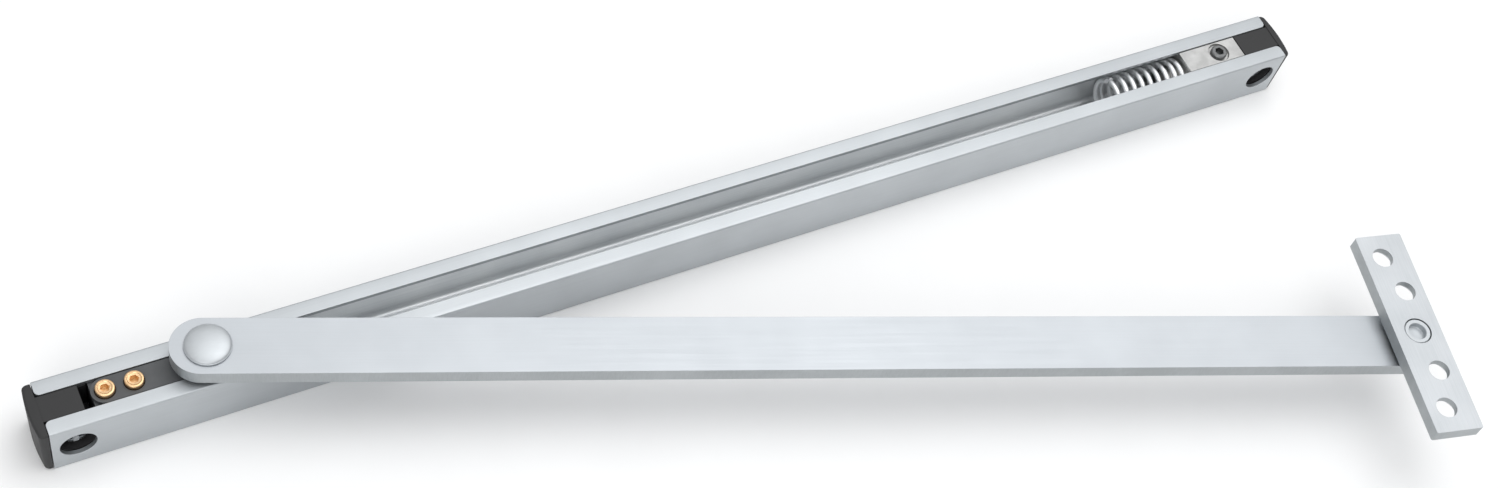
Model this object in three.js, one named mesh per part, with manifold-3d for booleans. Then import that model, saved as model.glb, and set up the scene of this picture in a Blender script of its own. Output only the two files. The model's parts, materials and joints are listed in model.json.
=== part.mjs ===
// Overhead door stop and holder: a slotted rail for the door, a slide with its pivot, a flat arm and a small
// bracket for the door frame, with a buffer spring and its stop in the rail.
//
// Millimetres, +Z up. The origin is on the rail's back face, the one that lies on the door, at the middle of
// its length and height. +X runs along the rail towards the buffer spring, +Y into the door.
// Inside the group "rail frame" x is counted from the rail's left end, y from its middle plane and z from the
// top of its lips, which is how the piece is measured on the bench.

import * as THREE from "three";
import { mergeVertices } from "three/addons/utils/BufferGeometryUtils.js";
import Module from "manifold-3d";

const wasm = await Module();
wasm.setup();

// ---- driving dimensions ----

const RAIL_LENGTH = 588.5;
const RAIL_WIDTH = 25.4;
const RAIL_HEIGHT = 27.2;
const WALL = 2.0;
const SLOT_HALF = 5.97;
const RAIL_CORNER = 0.9;
const LIP_CORNER = 2.2;

const BLOCK_SCREW_HEIGHT = -13.1;
const BLOCK_SCREW_INSET = 10.4;
const RIGHT_SCREW_INSET = 9.8;
const ACCESS_RADIUS = 7.3;

const PIVOT_X = 66.4;
const SCREW_1_X = 25.3;
const SCREW_2_X = 36.8;
const STOP_SCREW_X = 557.4;

const ARM_WIDTH = 25.3;
const ARM_THICKNESS = 7.2;
const ARM_TURN = THREE.MathUtils.degToRad(-19.54);
const ARM_REACH = 509.7;
const ARM_TAIL = 15.0;
const ARM_HEAD = 13.2;
const ARM_UNDERSIDE = 2.4;

const BRACKET_LENGTH = 98.4;
const BRACKET_WIDTH = 22.2;
const BRACKET_THICKNESS = 6.35;
const BRACKET_TURN = THREE.MathUtils.degToRad(-83.43);
const BRACKET_GAP = 2.2;

const SPRING_RADIUS = 10.3;
const SPRING_WIRE = 2.4;
const SPRING_START = 496.5;
const SPRING_END = 537.5;
const SPRING_TURNS = 8;
const SPRING_AXIS = -12.65;

const GAP = 0.3;

const INSIDE_HALF = RAIL_WIDTH / 2 - WALL;
const FLOOR = -(RAIL_HEIGHT - WALL);
const LIP_UNDERSIDE = -WALL;
const FULL_TURN = Math.PI * 2;

// ---- finishes ----

const finish = (color, roughness, metalness) =>
  new THREE.MeshStandardMaterial({ color, roughness, metalness });

const satinAluminium = () => finish(0xd4d8dc, 0.38, 1.0);
const satinSteel = () => finish(0xc9ced2, 0.34, 1.0);
const blackMoulding = () => finish(0x2c2c2d, 0.55, 0.0);
const greyMoulding = () => finish(0x444546, 0.5, 0.0);
const brightSteel = () => finish(0xe2e4e6, 0.2, 1.0);
const darkSteel = () => finish(0x2b2b2d, 0.4, 1.0);
const copperPlate = () => finish(0xe2a874, 0.3, 1.0);
const bronze = () => finish(0xa7824e, 0.45, 1.0);
const brakePad = () => finish(0x5a3b2c, 0.8, 0.0);

// ---- solids: three.js geometry in, manifold-3d joins and cuts ----

function solid(geometry, matrix = new THREE.Matrix4()) {
  const bare = geometry.clone().applyMatrix4(matrix);
  bare.deleteAttribute("normal");
  bare.deleteAttribute("uv");
  const merged = mergeVertices(bare, 1e-4);
  return new wasm.Manifold(
    new wasm.Mesh({
      numProp: 3,
      vertProperties: new Float32Array(merged.attributes.position.array),
      triVerts: new Uint32Array(merged.index.array),
    }),
  );
}

function geometryOf(manifold) {
  const result = manifold.getMesh();
  const geometry = new THREE.BufferGeometry();
  geometry.setAttribute("position", new THREE.BufferAttribute(result.vertProperties, 3));
  geometry.setIndex(new THREE.BufferAttribute(result.triVerts, 1));
  geometry.computeVertexNormals();
  return geometry;
}

const place = (x, y, z) => new THREE.Matrix4().makeTranslation(x, y, z);

// A plan outline made solid between two heights.
function slab(shape, low, high, steps = 12) {
  const depth = high - low;
  const geometry = new THREE.ExtrudeGeometry(shape, { depth, bevelEnabled: false, curveSegments: steps });
  return solid(geometry, place(0, 0, low));
}

// A round bar standing on z, from its profile of [radius, height] points, which starts and ends on the axis.
function turned(points, sides = 32) {
  const profile = points.map(([radius, height]) => new THREE.Vector2(radius, height));
  return solid(new THREE.LatheGeometry(profile, sides));
}

const rod = (radius, low, high, sides = 32) =>
  turned([[0, low], [radius, low], [radius, high], [0, high]], sides);

// A ring standing on z.
const ring = (inner, outer, low, high, sides = 32) =>
  turned([[inner, low], [outer, low], [outer, high], [inner, high], [inner, low]], sides);

// Lathe solids stand on y. This stands them on z.
const STAND = new THREE.Matrix4().makeRotationX(Math.PI / 2);
const upright = (manifold) => solid(geometryOf(manifold), STAND);
const roundPost = (x, y, parts) => moved(upright(parts), x, y, 0);

function moved(manifold, x, y, z) {
  return manifold.translate([x, y, z]);
}

const box = (x0, x1, y0, y1, z0, z1) =>
  solid(new THREE.BoxGeometry(x1 - x0, y1 - y0, z1 - z0), place((x0 + x1) / 2, (y0 + y1) / 2, (z0 + z1) / 2));

// A rectangle with round corners, as a plan outline.
function roundedRectangle(x0, x1, y0, y1, radius) {
  const shape = new THREE.Shape();
  shape.moveTo(x0 + radius, y0);
  shape.lineTo(x1 - radius, y0);
  shape.absarc(x1 - radius, y0 + radius, radius, -Math.PI / 2, 0);
  shape.lineTo(x1, y1 - radius);
  shape.absarc(x1 - radius, y1 - radius, radius, 0, Math.PI / 2);
  shape.lineTo(x0 + radius, y1);
  shape.absarc(x0 + radius, y1 - radius, radius, Math.PI / 2, Math.PI);
  shape.lineTo(x0, y0 + radius);
  shape.absarc(x0 + radius, y0 + radius, radius, Math.PI, Math.PI * 1.5);
  return shape;
}

function part(name, manifold, material) {
  const mesh = new THREE.Mesh(geometryOf(manifold), material);
  mesh.name = name;
  return mesh;
}

// A cylinder along the rail's y, for the screw holes in its walls.
function crossBar(x, z, radius, y0, y1, sides = 40) {
  const geometry = new THREE.CylinderGeometry(radius, radius, y1 - y0, sides);
  return solid(geometry, place(x, (y0 + y1) / 2, z));
}

const LEFT_SCREW_X = BLOCK_SCREW_INSET;
const RIGHT_SCREW_X = RAIL_LENGTH - RIGHT_SCREW_INSET;

// ---- the rail ----

// One C section with inward lips. The lips' inner corners are rounded at both ends, the near wall has a
// round hole at each end for a screw's head, and the back wall a small one behind it for its shank.
function rail() {
  const section = new THREE.Shape();
  const half = RAIL_WIDTH / 2;
  const corner = RAIL_CORNER;
  section.moveTo(-half + corner, -RAIL_HEIGHT);
  section.lineTo(half - corner, -RAIL_HEIGHT);
  section.absarc(half - corner, -RAIL_HEIGHT + corner, corner, -Math.PI / 2, 0);
  section.lineTo(half, -corner);
  section.absarc(half - corner, -corner, corner, 0, Math.PI / 2);
  section.lineTo(SLOT_HALF, 0);
  section.lineTo(SLOT_HALF, LIP_UNDERSIDE);
  section.lineTo(INSIDE_HALF, LIP_UNDERSIDE);
  section.lineTo(INSIDE_HALF, FLOOR);
  section.lineTo(-INSIDE_HALF, FLOOR);
  section.lineTo(-INSIDE_HALF, LIP_UNDERSIDE);
  section.lineTo(-SLOT_HALF, LIP_UNDERSIDE);
  section.lineTo(-SLOT_HALF, 0);
  section.lineTo(-half + corner, 0);
  section.absarc(-half + corner, -corner, corner, Math.PI / 2, Math.PI);
  section.lineTo(-half, -RAIL_HEIGHT + corner);
  section.absarc(-half + corner, -RAIL_HEIGHT + corner, corner, Math.PI, Math.PI * 1.5);
  const settings = { depth: RAIL_LENGTH, bevelEnabled: false, curveSegments: 3 };
  const geometry = new THREE.ExtrudeGeometry(section, settings);
  const alongX = new THREE.Matrix4().set(0, 0, 1, 0, 1, 0, 0, 0, 0, 1, 0, 0, 0, 0, 0, 1);
  let body = solid(geometry, alongX);
  for (const end of [0, 1]) {
    for (const side of [-1, 1]) {
      body = body.subtract(lipCorner(end ? RAIL_LENGTH : 0, end ? -1 : 1, side));
    }
  }
  for (const x of [LEFT_SCREW_X, RIGHT_SCREW_X]) {
    body = body.subtract(crossBar(x, BLOCK_SCREW_HEIGHT, ACCESS_RADIUS, -half - 1, -INSIDE_HALF + 1));
    body = body.subtract(crossBar(x, BLOCK_SCREW_HEIGHT, SCREW_SHANK + GAP, INSIDE_HALF - 1, half + 1, 24));
  }
  return part("channel", body, satinAluminium());
}

// The waste cut off a lip's inner corner: a square with a quarter circle left in it.
function lipCorner(x, inward, side) {
  const radius = LIP_CORNER;
  const shape = new THREE.Shape();
  shape.moveTo(x - inward, side * (SLOT_HALF - 1));
  shape.lineTo(x + inward * radius, side * (SLOT_HALF - 1));
  shape.lineTo(x + inward * radius, side * SLOT_HALF);
  const steps = 6;
  for (let i = 1; i <= steps; i++) {
    const angle = (i / steps) * (Math.PI / 2);
    const along = radius - radius * Math.sin(angle);
    const across = SLOT_HALF + radius - radius * Math.cos(angle);
    shape.lineTo(x + inward * along, side * across);
  }
  shape.lineTo(x - inward, side * (SLOT_HALF + radius));
  return slab(shape, LIP_UNDERSIDE - 0.2, 1);
}

// ---- the end blocks and their screws ----

const SCREW_SHANK = 2.9;
const SCREW_HEAD = 6.2;
const SEAT_Y = -6.0;
const HEAD_HEIGHT = 2.6;
const RECESS_REACH = 3.9;
const RECESS_HALF = 0.85;
const POCKET_RADIUS = 7.0;

const LEFT_BLOCK = { overhang: 4.8, neckEnd: 15.8, bodyEnd: 19.3 };
const RIGHT_BLOCK = { overhang: 3.8, neckEnd: 19.0, bodyEnd: 19.0 };
const NOTCH_BOTTOM = -16;
const CAP_CORNER = 2.2;
const CAP_BULGE = 0.8;
const CAP_DRAFT = 0.16;

// The cap outside the rail's end: bulged in plan, with round corners, and drawn in towards its bottom.
function endCap(overhang) {
  const half = RAIL_WIDTH / 2 - GAP;
  const side = overhang - CAP_BULGE;
  const outline = new THREE.Shape();
  outline.moveTo(-GAP, -half);
  outline.lineTo(-GAP, half);
  outline.lineTo(-side + CAP_CORNER, half);
  outline.absarc(-side + CAP_CORNER, half - CAP_CORNER, CAP_CORNER, Math.PI / 2, Math.PI);
  outline.quadraticCurveTo(-overhang - CAP_BULGE, 0, -side, -half + CAP_CORNER);
  outline.absarc(-side + CAP_CORNER, -half + CAP_CORNER, CAP_CORNER, Math.PI, Math.PI * 1.5);
  const height = RAIL_HEIGHT - 2 * GAP;
  const geometry = new THREE.ExtrudeGeometry(outline, { depth: height, bevelEnabled: false, curveSegments: 8 });
  const points = geometry.attributes.position;
  for (let i = 0; i < points.count; i++) {
    const fall = 1 - points.getZ(i) / height;
    const x = points.getX(i);
    if (x < -GAP) points.setX(i, Math.min(-GAP, x * (1 - CAP_DRAFT * fall)));
  }
  return solid(geometry, place(0, 0, -RAIL_HEIGHT + GAP));
}

// A moulded block: its cap, a body inside the rail, a neck that fills the slot, and a pocket in its near
// side for the screw's head. Where the body is longer than the neck, a notch carries the neck's end face
// down. Made for the left end, x counted inwards from the end.
function endBlock({ overhang, neckEnd, bodyEnd }, screwInset) {
  let body = endCap(overhang);
  body = body.add(box(-1, bodyEnd, -INSIDE_HALF + GAP, INSIDE_HALF - GAP, FLOOR + GAP, LIP_UNDERSIDE - GAP));
  body = body.add(box(-1, neckEnd, -SLOT_HALF + GAP, SLOT_HALF - GAP, LIP_UNDERSIDE - 1, -0.6));
  body = body.subtract(crossBar(screwInset, BLOCK_SCREW_HEIGHT, POCKET_RADIUS, -RAIL_WIDTH, SEAT_Y));
  body = body.subtract(crossBar(screwInset, BLOCK_SCREW_HEIGHT, SCREW_SHANK + GAP, SEAT_Y - 1, RAIL_WIDTH, 24));
  if (bodyEnd > neckEnd) {
    body = body.subtract(box(neckEnd, bodyEnd + 1, -SLOT_HALF + GAP, SLOT_HALF - GAP, NOTCH_BOTTOM, 0));
  }
  return body;
}

// A pan-head screw along y, its head's cross recess open to -Y, its point just short of the rail's back face.
function blockScrew(x) {
  const shaftEnd = RAIL_WIDTH / 2 - 0.3;
  const seat = SEAT_Y - GAP;
  const profile = [
    [0, seat - HEAD_HEIGHT],
    [SCREW_HEAD * 0.55, seat - HEAD_HEIGHT],
    [SCREW_HEAD * 0.88, seat - HEAD_HEIGHT * 0.72],
    [SCREW_HEAD, seat - HEAD_HEIGHT * 0.3],
    [SCREW_HEAD, seat],
    [SCREW_SHANK, seat],
    [SCREW_SHANK, shaftEnd - 1],
    [SCREW_SHANK - 0.9, shaftEnd],
    [0, shaftEnd],
  ];
  let screw = turned(profile, 28);
  const depth = HEAD_HEIGHT * 0.7;
  const top = seat - HEAD_HEIGHT;
  screw = screw.subtract(box(-RECESS_REACH, RECESS_REACH, top - 1, top + depth, -RECESS_HALF, RECESS_HALF));
  screw = screw.subtract(box(-RECESS_HALF, RECESS_HALF, top - 1, top + depth, -RECESS_REACH, RECESS_REACH));
  return moved(screw, x, 0, BLOCK_SCREW_HEIGHT);
}

// Turns a block made for the left end into one for the right end.
function forRightEnd(manifold) {
  return moved(manifold.mirror([1, 0, 0]), RAIL_LENGTH, 0, 0);
}

function endFittings() {
  return [
    part("left_end_block", endBlock(LEFT_BLOCK, BLOCK_SCREW_INSET), blackMoulding()),
    part("right_end_block", forRightEnd(endBlock(RIGHT_BLOCK, RIGHT_SCREW_INSET)), blackMoulding()),
    part("left_block_screw", blockScrew(LEFT_SCREW_X), brightSteel()),
    part("right_block_screw", blockScrew(RIGHT_SCREW_X), brightSteel()),
  ];
}

// ---- the buffer: stop block, its screw, its pressure plate and the spring ----

const STOP_START = 537.8;
const STOP_END = 569.1;
const STOP_NECK_TOP = -0.5;
const STOP_POCKET = 5.0;
const STOP_POCKET_DEPTH = 1.4;
const STOP_HEAD = 3.8;
const STOP_SHANK = 3.0;
const SPIGOT_RADIUS = 6.2;
const SPIGOT_LENGTH = 9;
const PLATE_TOP = FLOOR + 3.2;

// Slides into the rail from its end. The screw is tapped through it and lifts it against the lips.
function stopBlock() {
  const low = FLOOR + GAP;
  const high = LIP_UNDERSIDE - GAP;
  let block = box(STOP_START, STOP_END, -INSIDE_HALF + GAP, INSIDE_HALF - GAP, low, high);
  block = block.add(box(STOP_START, STOP_END, -SLOT_HALF + GAP, SLOT_HALF - GAP, high - 1, STOP_NECK_TOP));
  const spigot = new THREE.CylinderGeometry(SPIGOT_RADIUS, SPIGOT_RADIUS - 1, SPIGOT_LENGTH + 1, 24);
  const laid = new THREE.Matrix4().makeRotationZ(-Math.PI / 2);
  laid.premultiply(place(STOP_START - SPIGOT_LENGTH / 2 + 0.5, 0, SPRING_AXIS));
  block = block.add(solid(spigot, laid));
  const pocketFloor = STOP_NECK_TOP - STOP_POCKET_DEPTH;
  block = block.subtract(roundPost(STOP_SCREW_X, 0, rod(STOP_POCKET, pocketFloor, 2)));
  block = block.subtract(roundPost(STOP_SCREW_X, 0, rod(STOP_SHANK + GAP, FLOOR - 1, 0, 24)));
  return block.subtract(box(STOP_SCREW_X - 8.5, STOP_SCREW_X + 8.5, -8.5, 8.5, low - 1, PLATE_TOP + GAP));
}

// A socket screw that stands in the stop block's pocket and presses on the plate below.
function stopScrew() {
  const pocketFloor = STOP_NECK_TOP - STOP_POCKET_DEPTH;
  const headLow = pocketFloor + GAP;
  const profile = [
    [0, PLATE_TOP + GAP],
    [STOP_SHANK, PLATE_TOP + GAP],
    [STOP_SHANK, headLow],
    [STOP_HEAD, headLow],
    [STOP_HEAD, headLow + 1.5],
    [STOP_HEAD - 0.4, headLow + 1.9],
    [0, headLow + 1.9],
  ];
  const screw = upright(turned(profile, 28));
  return moved(screw.subtract(hexSocket(2.2, headLow + 1.9, 3)), STOP_SCREW_X, 0, 0);
}

// The waste of a hexagon socket whose mouth is at the given height.
function hexSocket(radius, mouth, depth) {
  return upright(turned([[0, mouth - depth], [radius, mouth - depth], [radius, mouth + 1], [0, mouth + 1]], 6));
}

// Round wire wound on a helix between the closed end coil and the stop block.
function springCoils() {
  const wire = SPRING_WIRE / 2;
  const meanRadius = SPRING_RADIUS - wire;
  const from = SPRING_START + SPRING_WIRE + GAP + wire;
  const to = SPRING_END - wire;
  class Helix extends THREE.Curve {
    getPoint(t, target = new THREE.Vector3()) {
      const angle = t * SPRING_TURNS * FULL_TURN;
      const x = from + (to - from) * t;
      return target.set(x, meanRadius * Math.sin(angle), SPRING_AXIS + meanRadius * Math.cos(angle));
    }
  }
  const wireSection = new THREE.Shape();
  wireSection.absarc(0, 0, wire, 0, FULL_TURN);
  const geometry = new THREE.ExtrudeGeometry(wireSection, {
    extrudePath: new Helix(),
    steps: SPRING_TURNS * 14,
    curveSegments: 6,
    bevelEnabled: false,
  });
  return solid(geometry);
}

// The ground end coil: a flat ring across the rail.
function springEndCoil() {
  const laid = new THREE.Matrix4().makeRotationZ(-Math.PI / 2).premultiply(place(SPRING_START, 0, SPRING_AXIS));
  return solid(geometryOf(ring(SPRING_RADIUS - SPRING_WIRE, SPRING_RADIUS, 0, SPRING_WIRE)), laid);
}

function bufferFittings() {
  const x = STOP_SCREW_X;
  const plate = slab(roundedRectangle(x - 8, x + 8, -8, 8, 1.5), FLOOR + 0.05, PLATE_TOP, 4);
  return [
    part("stop_block", stopBlock(), satinSteel()),
    part("stop_screw", stopScrew(), darkSteel()),
    part("stop_pressure_plate", plate, darkSteel()),
    part("buffer_spring", springCoils(), brightSteel()),
    part("spring_end_coil", springEndCoil(), brightSteel()),
  ];
}

// ---- the slide ----

const SLIDE_START = 20.0;
const SLIDE_END = 90.0;
const NECK_RADIUS = 5.6;
const NECK_TOP = -0.5;
const SLIDE_SIDE_GAP = 0.35;
const SLIDE_TOP = LIP_UNDERSIDE - 0.35;
const SLIDE_BOTTOM = FLOOR + 0.4;
const SCREW_RADIUS = 3.9;
const SCREW_RISE = 1.5;
const SCREW_HOLE = SCREW_RADIUS + GAP;
const RIVET_SHANK = 4.0;
const BUSH_OUTER = 6.0;
const BUSH_TOP = SLIDE_TOP - 1;
const WASHER_LOW = 0.3;
const TAIL_RADIUS = 7.4;
const TAIL_HEIGHT = 2.6;
const SHOE_HEIGHT = 3.4;
const SHOE_TOP = SLIDE_BOTTOM + SHOE_HEIGHT;
const SHOE_SPRING_HEIGHT = 1.5;
const SHOE_SPRING_RADIUS = 4.9;

// A moulded block that fills the rail, with a round-ended neck up through the slot.
function slideBlock() {
  const half = INSIDE_HALF - SLIDE_SIDE_GAP;
  const bodyShape = roundedRectangle(SLIDE_START, SLIDE_END, -half, half, 1.5);
  let block = slab(bodyShape, SLIDE_BOTTOM, SLIDE_TOP, 4);
  const neck = roundedRectangle(SCREW_1_X - NECK_RADIUS, SLIDE_END, -NECK_RADIUS, NECK_RADIUS, NECK_RADIUS - 0.01);
  block = block.add(slab(neck, SLIDE_TOP - 1, NECK_TOP, 10));
  const shoeRoom = roundedRectangle(SCREW_1_X - 6.2, SCREW_2_X + 6.2, -8.2, 8.2, 1);
  block = block.subtract(slab(shoeRoom, SLIDE_BOTTOM - 1, SHOE_TOP + GAP, 4));
  for (const x of [SCREW_1_X, SCREW_2_X]) {
    block = block.subtract(roundPost(x, 0, rod(SCREW_HOLE, SHOE_TOP, 1, 28)));
    const springRoom = rod(SHOE_SPRING_RADIUS + GAP, SHOE_TOP, SHOE_TOP + SHOE_SPRING_HEIGHT + 3 * GAP, 28);
    block = block.subtract(roundPost(x, 0, springRoom));
  }
  block = block.subtract(roundPost(PIVOT_X, 0, rod(RIVET_SHANK + GAP, SLIDE_BOTTOM - 1, 1)));
  block = block.subtract(roundPost(PIVOT_X, 0, rod(BUSH_OUTER + GAP / 2, SLIDE_BOTTOM - 1, BUSH_TOP + GAP)));
  const tailRoom = rod(TAIL_RADIUS + 2 * GAP, SLIDE_BOTTOM - 1, SLIDE_BOTTOM + TAIL_HEIGHT + 3 * GAP);
  return block.subtract(roundPost(PIVOT_X, 0, tailRoom));
}

// A copper-plated socket screw, standing a little proud of the slide, which bears on its disc spring.
function adjustingScrew(x) {
  const low = SHOE_TOP + SHOE_SPRING_HEIGHT + 2 * GAP;
  const top = SCREW_RISE;
  const profile = [
    [0, low],
    [SCREW_RADIUS - 0.7, low],
    [SCREW_RADIUS, low + 0.7],
    [SCREW_RADIUS, top - 0.5],
    [SCREW_RADIUS - 0.5, top],
    [0, top],
  ];
  const screw = upright(turned(profile, 28)).subtract(hexSocket(2.1, top, 3.5));
  return moved(screw, x, 0, 0);
}

// A disc spring: a shallow cone with a hole, on the shoe.
function discSpring(x) {
  const low = SHOE_TOP + GAP;
  const rise = SHOE_SPRING_HEIGHT;
  const outer = SHOE_SPRING_RADIUS;
  const profile = [
    [2.4, low + rise - 0.9],
    [outer, low],
    [outer, low + 0.9],
    [2.4, low + rise],
    [2.4, low + rise - 0.9],
  ];
  return roundPost(x, 0, turned(profile, 24));
}

function slideFittings() {
  const shoe = roundedRectangle(SCREW_1_X - 5.8, SCREW_2_X + 5.8, -7.8, 7.8, 1);
  const bushLow = SLIDE_BOTTOM + TAIL_HEIGHT + 3 * GAP;
  const bush = ring(RIVET_SHANK + 0.1, BUSH_OUTER, bushLow, BUSH_TOP, 32);
  const washer = ring(RIVET_SHANK + GAP, 10.6, WASHER_LOW, ARM_UNDERSIDE - GAP, 40);
  return [
    part("slide_block", slideBlock(), greyMoulding()),
    part("slide_bush", roundPost(PIVOT_X, 0, bush), bronze()),
    part("slide_washer", roundPost(PIVOT_X, 0, washer), darkSteel()),
    part("friction_shoe", slab(shoe, FLOOR + 0.1, SHOE_TOP, 4), brakePad()),
    part("shoe_spring_1", discSpring(SCREW_1_X), brightSteel()),
    part("shoe_spring_2", discSpring(SCREW_2_X), brightSteel()),
    part("adjusting_screw_1", adjustingScrew(SCREW_1_X), copperPlate()),
    part("adjusting_screw_2", adjustingScrew(SCREW_2_X), copperPlate()),
  ];
}

// ---- the arm, in its own frame: x along it from the pivot, z as on the rail ----

const ARM_TOP = ARM_UNDERSIDE + ARM_THICKNESS;
const RIVET_HEAD = 9.4;
const RIVET_DOME = 2.2;
const STUD_SHANK = 4.9;
const STUD_BORE = 3.9;
const STUD_BORE_DEPTH = 3.0;
const ARM_BUSH_OUTER = 6.4;
const STUD_ROLL = 7.6;
const STUD_ROLL_HEIGHT = 1.8;

// A flat bar whose ends are round, a little longer than half circles on its centres.
function armBar() {
  const half = ARM_WIDTH / 2;
  const shape = new THREE.Shape();
  const tail = ARM_TAIL - half;
  const head = ARM_REACH + ARM_HEAD - half;
  shape.absarc(-tail, 0, half, Math.PI / 2, Math.PI * 1.5);
  shape.absarc(head, 0, half, -Math.PI / 2, Math.PI / 2);
  let bar = slab(shape, ARM_UNDERSIDE, ARM_TOP, 24);
  bar = bar.subtract(roundPost(0, 0, rod(RIVET_SHANK + GAP, ARM_UNDERSIDE - 1, ARM_TOP + 1)));
  bar = bar.subtract(roundPost(ARM_REACH, 0, rod(ARM_BUSH_OUTER + GAP / 2, ARM_UNDERSIDE - 1, ARM_TOP + 1)));
  const roll = rod(STUD_ROLL + 2 * GAP, ARM_UNDERSIDE - 1, ARM_UNDERSIDE + STUD_ROLL_HEIGHT + 2 * GAP);
  return bar.subtract(roundPost(ARM_REACH, 0, roll));
}

// A rivet with a low domed head on the arm, closed below the slide by a washer.
function pivotRivet() {
  const low = SLIDE_BOTTOM + GAP;
  const headLow = ARM_TOP + GAP;
  const profile = [[0, low], [RIVET_SHANK, low], [RIVET_SHANK, headLow], [RIVET_HEAD, headLow]];
  const rim = headLow + 0.5;
  const steps = 6;
  for (let i = 0; i < steps; i++) {
    const angle = (i / steps) * (Math.PI / 2);
    profile.push([RIVET_HEAD * Math.cos(angle), rim + RIVET_DOME * Math.sin(angle)]);
  }
  profile.push([0, rim + RIVET_DOME]);
  return upright(turned(profile, 40));
}

function armFittings() {
  const group = new THREE.Group();
  const tailLow = SLIDE_BOTTOM + GAP;
  const tailWasher = upright(ring(RIVET_SHANK + 0.1, TAIL_RADIUS, tailLow, tailLow + TAIL_HEIGHT - GAP, 32));
  const bushLow = ARM_UNDERSIDE + STUD_ROLL_HEIGHT + 2 * GAP;
  const bush = upright(ring(STUD_SHANK + 0.15, ARM_BUSH_OUTER, bushLow, ARM_TOP, 32));
  group.add(part("arm_bar", armBar(), satinSteel()));
  group.add(part("pivot_rivet", pivotRivet(), satinSteel()));
  group.add(part("rivet_tail_washer", tailWasher, darkSteel()));
  group.add(part("arm_bush", moved(bush, ARM_REACH, 0, 0), bronze()));
  return group;
}

// ---- the frame bracket, in its own frame: x along the plate from the stud, z as on the rail ----

const PLATE_LOW = ARM_TOP + BRACKET_GAP;
const PLATE_HIGH = PLATE_LOW + BRACKET_THICKNESS;
const OUTER_HOLES = { along: 37.8, across: -1.9 };
const INNER_HOLES = { along: 20.0, across: 2.0 };
const HOLE_RADIUS = 4.7;
const SINK_RADIUS = 7.2;
const SINK_DEPTH = 3.4;
const STUD_FLANGE = 5.9;
const STUD_FLANGE_HEIGHT = 1.8;

// A flat plate with four staggered screw holes, countersunk from below, and a stepped hole for the stud.
function bracketPlate() {
  const long = BRACKET_LENGTH / 2;
  const half = BRACKET_WIDTH / 2;
  let plate = slab(roundedRectangle(-long, long, -half, half, 0.8), PLATE_LOW, PLATE_HIGH, 3);
  for (const { along, across } of [OUTER_HOLES, INNER_HOLES]) {
    for (const side of [-1, 1]) {
      const waste = turned([
        [0, PLATE_LOW - 1],
        [SINK_RADIUS, PLATE_LOW - 1],
        [SINK_RADIUS, PLATE_LOW],
        [HOLE_RADIUS, PLATE_LOW + SINK_DEPTH],
        [HOLE_RADIUS, PLATE_HIGH + 1],
        [0, PLATE_HIGH + 1],
      ]);
      plate = plate.subtract(roundPost(side * along, across, waste));
    }
  }
  plate = plate.subtract(roundPost(0, 0, rod(STUD_SHANK + GAP / 2, PLATE_LOW - 1, PLATE_HIGH + 1)));
  const flangeRoom = rod(STUD_FLANGE + GAP, PLATE_HIGH - STUD_FLANGE_HEIGHT - 2 * GAP, PLATE_HIGH + 1);
  return plate.subtract(roundPost(0, 0, flangeRoom));
}

// A stud: its flange, with a shallow bore, sinks in the plate, and its tail is rolled over under the arm.
function bracketStud() {
  const flangeTop = PLATE_HIGH - GAP;
  const flangeLow = flangeTop - STUD_FLANGE_HEIGHT;
  const low = ARM_UNDERSIDE + 0.2;
  const rollTop = low + STUD_ROLL_HEIGHT;
  const profile = [
    [0, low],
    [STUD_ROLL, low],
    [STUD_ROLL, rollTop - 0.6],
    [STUD_ROLL - 0.6, rollTop],
    [STUD_SHANK, rollTop],
    [STUD_SHANK, flangeLow],
    [STUD_FLANGE, flangeLow],
    [STUD_FLANGE, flangeTop],
    [STUD_BORE, flangeTop],
    [STUD_BORE, flangeTop - STUD_BORE_DEPTH],
    [0, flangeTop - STUD_BORE_DEPTH],
  ];
  return upright(turned(profile));
}

function bracketFittings() {
  const group = new THREE.Group();
  const washer = upright(ring(STUD_SHANK + GAP, 9.5, ARM_TOP + GAP, PLATE_LOW - GAP, 40));
  group.add(part("bracket_plate", bracketPlate(), satinSteel()));
  group.add(part("bracket_stud", bracketStud(), satinSteel()));
  group.add(part("bracket_washer", washer, darkSteel()));
  return group;
}

// ---- the whole ----

const closer = new THREE.Group();
const railFrame = new THREE.Group();
railFrame.position.set(-RAIL_LENGTH / 2, -RAIL_WIDTH / 2, RAIL_HEIGHT / 2);
closer.add(railFrame);
railFrame.add(rail(), ...endFittings(), ...bufferFittings(), ...slideFittings());

const arm = armFittings();
arm.position.set(PIVOT_X, 0, 0);
arm.rotation.z = ARM_TURN;
railFrame.add(arm);

const bracket = bracketFittings();
bracket.position.set(ARM_REACH, 0, 0);
bracket.rotation.z = BRACKET_TURN;
arm.add(bracket);

export default closer;
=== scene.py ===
import json
import math

import bmesh
import bpy
from mathutils import Euler, Matrix, Vector


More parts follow.
